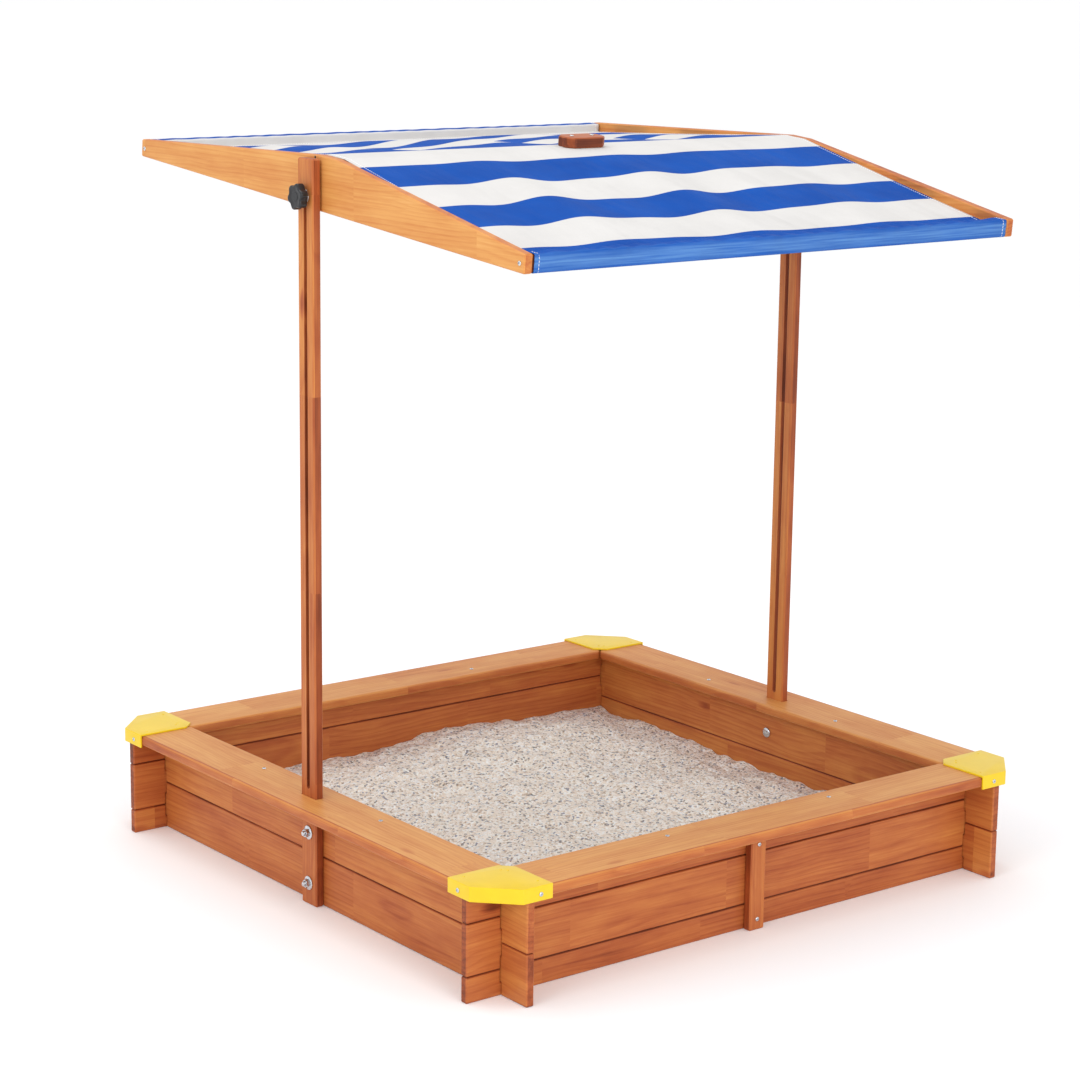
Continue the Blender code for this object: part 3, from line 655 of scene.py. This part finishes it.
def pivot_clamps():
    """The canopy's two pivots, from the inside out: carriage bolt, spacer, washer and knob."""
    for side, end in SIDES.items():
        inner = GABLE_INNER - TOUCH
        length = POST_OUTER + 0.0174 - inner
        name = f"{side}_pivot_carriage_bolt"
        bolt = bolt_mesh(name, 0.0099, 0.0045, SHANK, length - TOUCH, 0.02)
        place = outward((end * inner, 0.0, PIVOT.z), (end, 0.0, 0.0), 0.9)
        steel(name, bolt, SLIDER, place, [f"{side}_pivot_bolt"])
        spacer = f"{side}_pivot_spacer"
        near = min(abs(low(spacer).x), abs(high(spacer).x))
        thickness = high(spacer).x - low(spacer).x
        washer(f"{side}_spacer_washer", end, near, PIVOT.z, SLIDER, spacer, thickness)
        face = POST_OUTER + TOUCH
        washer(f"{side}_knob_plain_washer", end, face, PIVOT.z, SLIDER, f"{side}_knob_washer")
        place = outward((end * (face + PLAIN_WASHER + TOUCH), 0.0, PIVOT.z), (end, 0.0, 0.0), 0.25)
        knob, body = star_knob_mesh(), f"{side}_knob"
        piece(f"{side}_star_knob", knob, body, "black_plastic", [f"{side}_clamp_knob"], place)


def corner_caps():
    """Moulded caps over the seats' corners. Each has two screws in its lips and four shallow
    screw wells on top."""
    cap_low, cap_high = low("front_left_corner_cap"), high("front_left_corner_cap")
    outer, reach = -cap_low.x, -cap_high.x
    top, bottom = cap_high.z, cap_low.z
    cut, wall, inner_cut = 0.0598, 0.003, 0.020
    lip_height = 0.182
    shell = [
        (-outer, -reach), (-outer, -outer + cut), (-outer + cut, -outer),
        (-reach, -outer), (-reach, -reach - inner_cut), (-reach - inner_cut, -reach),
    ]
    room_outer, room_cut = outer - wall, cut - 0.586 * wall
    room = [
        (-room_outer, -reach + 0.05), (-room_outer, -room_outer + room_cut),
        (-room_outer + room_cut, -room_outer), (-reach + 0.05, -room_outer), (-reach + 0.05, -reach + 0.05),
    ]
    body = scratch("cap", prism_mesh("cap", shell, bottom, top))
    rounding = body.modifiers.new("round", "BEVEL")
    rounding.width, rounding.segments, rounding.limit_method = 0.0012, 4, "ANGLE"
    hollow = scratch("cap_room", prism_mesh("cap_room", room, bottom - 0.01, SEAT_TOP + 0.0003))
    wells = []
    for x, y in ((-0.506, -0.4985), (-0.4985, -0.506), (-0.572, -0.4905), (-0.4905, -0.572)):
        cone = [(-0.0009, 0.0), (-0.0009, 0.0018), (0.002, 0.0036), (0.002, 0.0)]
        well = scratch("well", turned("well", cone, 32))
        well.location = (x, y, top)
        wells.append(well)
    mesh = carve(body, [hollow] + wells)
    mesh.name = "corner_cap"
    mesh.shade_smooth()
    mesh.set_sharp_from_angle(angle=math.radians(28))
    mesh.materials.clear()
    mesh.materials.append(YELLOW)
    for corner, quarters in (("front_left", 0), ("front_right", 1), ("back_right", 2), ("back_left", 3)):
        turn = Matrix.Rotation(quarters * math.pi / 2, 4, "Z")
        node = f"{corner}_corner_cap"
        piece(f"{corner}_moulded_cap", mesh, SANDBOX, "yellow_plastic", [node], turn)
        lips = ((-outer, -0.504, lip_height), (-1, 0, 0)), ((-0.500, -outer, lip_height), (0, -1, 0))
        for k, (spot, facing) in enumerate(lips):
            screw(f"{corner}_cap_screw_{k + 1}", spot, facing, SANDBOX, place=turn, spin=0.3 + 0.5 * k)


def visible_screws():
    for side, end in (("front", -1), ("back", 1)):
        for row in ("bottom", "top"):
            node = f"{side}_batten_{row}_screw"
            spot = (0, end * BATTEN_FACE, (low(node).z + high(node).z) / 2)
            screw(f"{side}_batten_{row}_pan_head", spot, (0, end, 0), SANDBOX, [node])
    # Four screws hold each pair of facing seats, on the line of the wall under them.
    wall_line, reach, seat = 0.515, 0.180, SEAT_TOP + 0.0001
    for k, sign in enumerate((-1, 1)):
        for j, other in enumerate((-1, 1)):
            number = 2 * k + j + 1
            spot = (sign * wall_line, other * reach, seat)
            screw(f"side_seat_screw_{number}", spot, (0, 0, 1), SANDBOX, spin=0.2 * (k + 2 * j))
            spot = (other * reach, sign * wall_line, seat)
            screw(f"end_seat_screw_{number}", spot, (0, 0, 1), SANDBOX, spin=0.3 * (2 * k + j))
    for side, end in SIDES.items():
        for place_name, sign in (("front", -1), ("back", 1)):
            node = f"{side}_gable_{place_name}_screw"
            spot = (end * GABLE_OUTER, sign * (HALF_LENGTH - 0.0022 - 0.009), -0.008)
            screw(f"{side}_gable_{place_name}_pan_head", spot, (end, 0, 0), CANOPY, [node], CANOPY_PLACE)
        # A small black dome near each gable's peak stands for a small screw there that lies in shade: its
        # black is painted shade.
        shade_dot = turned("peak_shade_dot", dome(0.0022, 0.0008, 0.0003) + [(-0.003, 0.0016), (-0.003, 0.0)], 32)
        spot = CANOPY_PLACE @ outward((end * GABLE_OUTER, 0.004, 0.0622), (end, 0, 0))
        piece(f"{side}_gable_peak_plug", shade_dot, CANOPY, "black_plastic", place=spot)
        spot = (end * 0.022, PEAK_PLACE, BLOCK_TOP)
        screw(f"ridge_block_{side}_pan_head", spot, (0, 0, 1), CANOPY, place=CANOPY_PLACE)


# ---------------------------------------------------------------- canopy cloth

RAIL_DEPTH = 0.0215
SEAM_DROP = 0.016
CLOTH_HALF_WIDTH = 0.5022
CLOTH_THICKNESS = 0.0009
STRIPE = 0.099


def rounded(points, radius, spacing):
    """Points along a polyline whose corners are rounded, spaced at most spacing apart."""
    path = [Vector(points[0])]
    for before, corner, after in zip(points, points[1:], points[2:]):
        corner, before, after = Vector(corner), Vector(before), Vector(after)
        one, two = (before - corner).normalized(), (after - corner).normalized()
        angle = one.angle(two)
        room = min((before - corner).length, (after - corner).length)
        back = min(radius / math.tan(angle / 2), room * 0.45)
        start, end = corner + one * back, corner + two * back
        for k in range(7):
            t = k / 6
            path.append(start * (1 - t) ** 2 + corner * 2 * t * (1 - t) + end * t * t)
    path.append(Vector(points[-1]))
    fine = [path[0]]
    for point in path[1:]:
        step = (point - fine[-1]).length
        count = max(1, math.ceil(step / spacing))
        start = fine[-1]
        fine += [start.lerp(point, k / count) for k in range(1, count + 1)]
    return fine


def cloth_path():
    """The cloth's middle surface along the canopy: a sleeve down the front rail's inner side, under
    it, up its face and over its top, then up over the ridge, and the same at the back."""
    skin = CLOTH_THICKNESS / 2
    lap = HALF_LENGTH - RAIL_DEPTH
    end, bottom, tip = HALF_LENGTH - skin, TIP_BOTTOM + skin, TIP_TOP - skin
    seam = TIP_TOP - SEAM_DROP
    half = [(lap, seam - 0.0035), (lap, bottom), (end, bottom), (end, tip), (lap, tip), (lap, seam)]
    peak = [(PEAK_PLACE - PEAK_HALF_FLAT, PEAK - skin), (PEAK_PLACE + PEAK_HALF_FLAT, PEAK - skin)]
    return rounded([(-y, z) for y, z in half] + peak + list(reversed(half)), 0.0032, 0.0042)


def swell(place, width):
    return math.exp(-((place / width) ** 2))


def billow(x, y):
    """How far the cloth stands off its straight slope: a slight sag between ridge and rail, and
    slack waves that run down the slope. They fade at the rails, the ridge and the gables."""
    front = y < PEAK_PLACE
    edge = PEAK_PLACE - PEAK_HALF_FLAT if front else PEAK_PLACE + PEAK_HALF_FLAT
    reach = HALF_LENGTH - RAIL_DEPTH - abs(edge)
    up = max(0.0, min(1.0, (HALF_LENGTH - RAIL_DEPTH - abs(y)) / reach))
    held = max(0.0, math.sin(math.pi * up)) ** 0.85
    sides = max(0.0, 1 - (abs(x) / CLOTH_HALF_WIDTH) ** 6)
    phase = 0.0 if front else 2.1
    waves = 0.0045 * math.sin(2 * math.pi * (x / 0.262 + 0.16 * up) + 1.1 + phase)
    waves += 0.0022 * math.sin(2 * math.pi * (x / 0.148 - 0.30 * up) + 1.9 + 1.7 * phase)
    waves += 0.0020 * math.sin(2 * math.pi * (x / 0.61 + 0.40 * up) + 4.0 + phase)
    calm = 0.40 + 0.60 / (1 + math.exp((x - 0.20) / 0.07)) if front else 1.0
    return held * (sides * waves * calm - 0.0015 * (1 - sides))


def pucker(x, y, z):
    """Small gathers where the sleeve turns over its rail, and soft creases across its face."""
    over = swell(max(0.0, TIP_TOP - z), 0.006) * swell(max(0.0, 0.545 - abs(y)), 0.012)
    gathers = math.sin(2 * math.pi * x / 0.043 + 1.5 * math.sin(2 * math.pi * x / 0.31))
    gathers += 0.6 * noise.noise(Vector((x * 46.0, y * 9.0, 2.0)))
    face = swell(max(0.0, HALF_LENGTH - abs(y)), 0.004) * swell(z + 0.008, 0.014)
    creases = noise.noise(Vector((x * 4.0, z * 160.0, y)))
    creases += 0.5 * noise.noise(Vector((x * 14.0, z * 90.0, y)))
    over *= 1.0 if y < 0 else 0.35
    return 0.0009 * over * gathers + 0.0007 * face * (0.6 + creases)


def cloth_surface():
    """The grid of cloth points, how far along the cloth each row lies, and the run at which the
    ridge's stripe starts."""
    path = cloth_path()
    runs = [0.0]
    for a, b in zip(path, path[1:]):
        runs.append(runs[-1] + (b - a).length)
    columns = 240
    rows = []
    for k, point in enumerate(path):
        before, after = path[max(0, k - 1)], path[min(len(path) - 1, k + 1)]
        ahead = (after - before).normalized()
        normal = Vector((-ahead.y, ahead.x))
        on_slope = abs(point.x) < HALF_LENGTH - 0.0220
        row = []
        for j in range(columns + 1):
            x = CLOTH_HALF_WIDTH * (2 * j / columns - 1)
            lift = billow(x, point.x) if on_slope else pucker(x, point.x, point.y)
            row.append(Vector((x, point.x + normal.x * lift, point.y + normal.y * lift)))
        rows.append(row)
    ridge = next(run for point, run in zip(path, runs) if point.x > -0.001 and point.y > 0.05)
    return rows, runs, ridge


def cloth_mesh(rows, runs):
    columns = len(rows[0])
    points = [point for row in rows for point in row]
    faces = []
    for k in range(len(rows) - 1):
        for j in range(columns - 1):
            first = k * columns + j
            faces.append((first, first + 1, first + columns + 1, first + columns))
    mesh = bpy.data.meshes.new("canopy_cloth")
    mesh.from_pydata(points, [], faces)
    mesh.shade_smooth()
    layer = mesh.uv_layers.new(name="cloth")
    for loop in mesh.loops:
        row, column = divmod(loop.vertex_index, columns)
        layer.uv[loop.index].vector = (points[column].x, runs[row])
    return mesh


def stitches(name, line, length, gap, radius, finish):
    """A row of thread stitches along a line of (point, normal), each a short six-sided bead."""
    points, faces = [], []
    travelled, distance = 0.0, []
    for a, b in zip(line, line[1:]):
        distance.append(travelled)
        travelled += (b[0] - a[0]).length
    distance.append(travelled)

    def at(where):
        k = 0
        while k < len(distance) - 2 and distance[k + 1] < where:
            k += 1
        share = (where - distance[k]) / max(1e-9, distance[k + 1] - distance[k])
        return line[k][0].lerp(line[k + 1][0], share), line[k][1]

    count = int(travelled / (length + gap))
    bead = (0.0, 0.45, 0.15), (0.25, 1.0, 0.75), (0.75, 1.0, 0.75), (1.0, 0.45, 0.15)
    for n in range(count):
        start = n * (length + gap)
        base = len(points)
        one, up = at(start)
        two, _ = at(start + length)
        forward = (two - one).normalized()
        side = forward.cross(up).normalized()
        for share, girth, rise in bead:
            centre = one.lerp(two, share) + up * radius * rise
            for k in range(6):
                angle = math.pi / 3 * k
                points.append(centre + (side * math.cos(angle) + up * math.sin(angle)) * radius * girth)
        for ring in range(3):
            for k in range(6):
                j = (k + 1) % 6
                near, far = base + ring * 6, base + ring * 6 + 6
                faces.append((near + k, near + j, far + j, far + k))
        faces.append(tuple(base + k for k in reversed(range(6))))
        faces.append(tuple(base + 18 + k for k in range(6)))
    mesh = mesh_from(name, points, faces, smooth=80)
    mesh.transform(CANOPY_PLACE)
    return piece(name, mesh, CANOPY, "striped_polyester", finish=finish)


def surface_line(rows, indices):
    """Points just on the cloth's outer face, with its normals, for (row, column) indices."""
    line = []
    last_row, last_column = len(rows) - 1, len(rows[0]) - 1
    for k, j in indices:
        along = rows[min(last_row, k + 1)][j] - rows[max(0, k - 1)][j]
        across = rows[k][min(last_column, j + 1)] - rows[k][max(0, j - 1)]
        normal = across.cross(along).normalized()
        line.append((rows[k][j] + normal * (CLOTH_THICKNESS / 2), normal))
    return line


def canopy_cloth():
    rows, runs, ridge = cloth_surface()
    last = len(rows[0]) - 1
    slope = [k for k, row in enumerate(rows) if abs(row[0].y) < HALF_LENGTH - 0.0225]
    back_hem = next(run for row, run in zip(rows, runs) if row[0].y > HALF_LENGTH - 0.0185)
    front_hem = ridge - 5 * STRIPE - 0.008
    front_face = [(row[0].z, run) for row, run in zip(rows, runs) if row[0].y < 0.0015 - HALF_LENGTH]
    # The run half way up the sleeve's face, where the painted sheen is centred.
    sheen_band_run = next(run for height, run in front_face if height > -0.008)
    finish = striped_polyester("striped_polyester", ridge, STRIPE, front_hem, back_hem, sheen_band_run)
    mesh = cloth_mesh(rows, runs)
    mesh.transform(CANOPY_PLACE)
    cloth = piece("canopy_cloth", mesh, CANOPY, "striped_polyester", ["canopy_fabric"], finish=finish)
    body = cloth.modifiers.new("thickness", "SOLIDIFY")
    body.thickness, body.offset = CLOTH_THICKNESS, 0.0
    for side, column in (("left", 2), ("right", last - 2)):
        line = surface_line(rows, [(k, column) for k in range(3, len(rows) - 3)])
        stitches(f"{side}_edge_stitching", line, 0.0042, 0.0012, 0.00045, WHITE_THREAD)
    for side, row, thread in (("front", slope[0] + 1, BLUE_THREAD), ("back", slope[-1] - 1, WHITE_THREAD)):
        line = surface_line(rows, [(row, j) for j in range(2, last - 1)])
        stitches(f"{side}_hem_stitching", line, 0.0042, 0.0012, 0.00045, thread)


# ---------------------------------------------------------------- sand

def sand_height(x, y):
    """The same raked surface as the packed sand, with scuffs and lumps from play."""
    mound = 0.030 * math.exp(-((x - 0.12) ** 2 / 0.075 + (y - 0.46) ** 2 / 0.05))
    waves = 0.0035 * math.sin(9.0 * x + 1.0) * math.cos(7.5 * y - 0.6)
    lumps = 0.0100 * noise.noise(Vector((x * 9.0, y * 9.0, 0.3)))
    lumps += 0.0062 * noise.noise(Vector((x * 27.0, y * 27.0, 4.1)))
    lumps += 0.0026 * noise.noise(Vector((x * 70.0, y * 70.0, 8.7)))
    return 0.056 + mound + waves + lumps


def sand_pile(cells=260):
    half = WALL_INNER - 0.0011
    bottom = low("sand_filling").z
    steps = [half * (2 * k / cells - 1) for k in range(cells + 1)]
    points = [(x, y, sand_height(x, y)) for y in steps for x in steps]
    side = cells + 1
    faces = []
    for row in range(cells):
        for column in range(cells):
            first = row * side + column
            faces.append((first, first + 1, first + side + 1, first + side))
    rim = list(range(cells)) + [row * side + cells for row in range(cells)]
    rim += [cells * side + cells - k for k in range(cells)] + [(cells - row) * side for row in range(cells)]
    base = len(points)
    points += [(points[k][0], points[k][1], bottom) for k in rim]
    count = len(rim)
    faces += [(rim[k], rim[(k + 1) % count], base + (k + 1) % count, base + k) for k in range(count)]
    faces.append(tuple(range(base, base + count)))
    mesh = mesh_from("raked_sand", points, faces, 60)
    piece("raked_sand", mesh, SANDBOX, "play_sand", ["sand_filling"])


def ground_sheet():
    """The liner under the sand: one sheet that lies on the ground between the walls."""
    half = WALL_INNER - 0.0015
    cells = 60
    level = (low("ground_liner").z + high("ground_liner").z) / 2
    points, faces = [], []
    for row in range(cells + 1):
        for column in range(cells + 1):
            x, y = (half * (2 * k / cells - 1) for k in (column, row))
            points.append((x, y, level + 0.0002 * noise.noise(Vector((x * 20, y * 20, 1.0)))))
    for row in range(cells):
        for column in range(cells):
            first = row * (cells + 1) + column
            faces.append((first, first + 1, first + cells + 2, first + cells + 1))
    mesh = mesh_from("liner_sheet", points, faces)
    sheet = piece("liner_sheet", mesh, SANDBOX, "liner_fabric", ["ground_liner"])
    body = sheet.modifiers.new("thickness", "SOLIDIFY")
    body.thickness, body.offset = 0.0008, 0.0


# ---------------------------------------------------------------- wood of the frame

def finish_boards():
    finishes = {
        "front_wall": FIR_X, "back_wall": FIR_X, "left_wall": FIR_Y, "right_wall": FIR_Y,
        "front_seat": SEAT_X, "back_seat": SEAT_X, "left_seat": SEAT_Y, "right_seat": SEAT_Y,
        "left_post": UPRIGHT_SIDE, "right_post": UPRIGHT_SIDE,
        "front_batten": UPRIGHT_FRONT, "back_batten": UPRIGHT_FRONT,
        "left_gable_board": LEFT_GABLE_FIR, "right_gable_board": RIGHT_GABLE_FIR,
        "front_canopy_rail": RAIL_FIR, "back_canopy_rail": RAIL_FIR,
        "ridge_rail": RAIL_FIR, "ridge_block": RAIL_FIR,
    }
    for name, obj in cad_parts.items():
        for start, finish in finishes.items():
            if name.startswith(start) and "screw" not in name and "_post_" not in name:
                for slot in obj.material_slots:
                    slot.material = finish


# ---------------------------------------------------------------- studio

def studio():
    reach = 400.0
    corners = [(-reach, -reach, 0), (reach, -reach, 0), (reach, reach, 0), (-reach, reach, 0)]
    floor_mesh = bpy.data.meshes.new("floor")
    floor_mesh.from_pydata(corners, [], [(0, 1, 2, 3)])
    floor = bpy.data.objects.new("floor", floor_mesh)
    bpy.context.scene.collection.objects.link(floor)
    # Matt seamless paper, lit from behind: white with no gloss.
    floor_mesh.materials.append(material(
        "seamless_paper", Base_Color=srgb("#F4F4F5"), Roughness=0.95, Specular_IOR_Level=0.1,
        Emission_Color=srgb("#FFFFFF"), Emission_Strength=0.10,
    )[0])

    world = bpy.data.worlds.new("studio")
    bpy.context.scene.world = world
    world.use_nodes = True
    backdrop = world.node_tree.nodes["Background"]
    backdrop.inputs["Color"].default_value = srgb("#FFFFFF")
    backdrop.inputs["Strength"].default_value = 1.0

    def softbox(name, place, target, size, power, tint="#FFFFFF"):
        light = bpy.data.lights.new(name, "AREA")
        light.shape, light.size, light.energy = "DISK", size, power
        light.color = srgb(tint)[:3]
        lamp = bpy.data.objects.new(name, light)
        lamp.location = place
        aim = Vector(target) - Vector(place)
        lamp.rotation_euler = aim.to_track_quat("-Z", "Y").to_euler()
        bpy.context.scene.collection.objects.link(lamp)

    softbox("overhead_softbox", (-0.6, 0.4, 4.6), (0.0, 0.0, 0.3), 3.0, 40)
    softbox("key_softbox", (-4.2, -1.6, 2.8), (0.0, 0.0, 0.4), 1.8, 28)
    softbox("fill_softbox", (-1.0, -4.8, 1.8), (0.0, 0.2, 0.1), 2.2, 48)


def camera():
    """At the seat's corner, a little above the canopy, looking slightly down."""
    yaw, pitch, roll = 0.6599, -0.2137, 0.0127
    ahead = Vector((math.sin(yaw) * math.cos(pitch), math.cos(yaw) * math.cos(pitch), math.sin(pitch)))
    right = Vector((math.cos(yaw), -math.sin(yaw), 0.0))
    up = right.cross(ahead)
    leaned_right = right * math.cos(roll) + up * math.sin(roll)
    leaned_up = up * math.cos(roll) - right * math.sin(roll)
    data = bpy.data.cameras.new("camera")
    data.sensor_width, data.lens = 36.0, 91.46
    data.clip_end = 1500.0
    eye = bpy.data.objects.new("camera", data)
    turn = Matrix((leaned_right, leaned_up, -ahead)).transposed().to_4x4()
    eye.matrix_world = Matrix.Translation((-2.9600, -3.7495, 1.6068)) @ turn
    bpy.context.scene.collection.objects.link(eye)
    bpy.context.scene.camera = eye


finish_boards()
post_fixings()
pivot_clamps()
corner_caps()
visible_screws()
canopy_cloth()
sand_pile()
ground_sheet()
studio()
camera()
bpy.context.scene.view_settings.view_transform = "Standard"

bpy.context.view_layer.update()
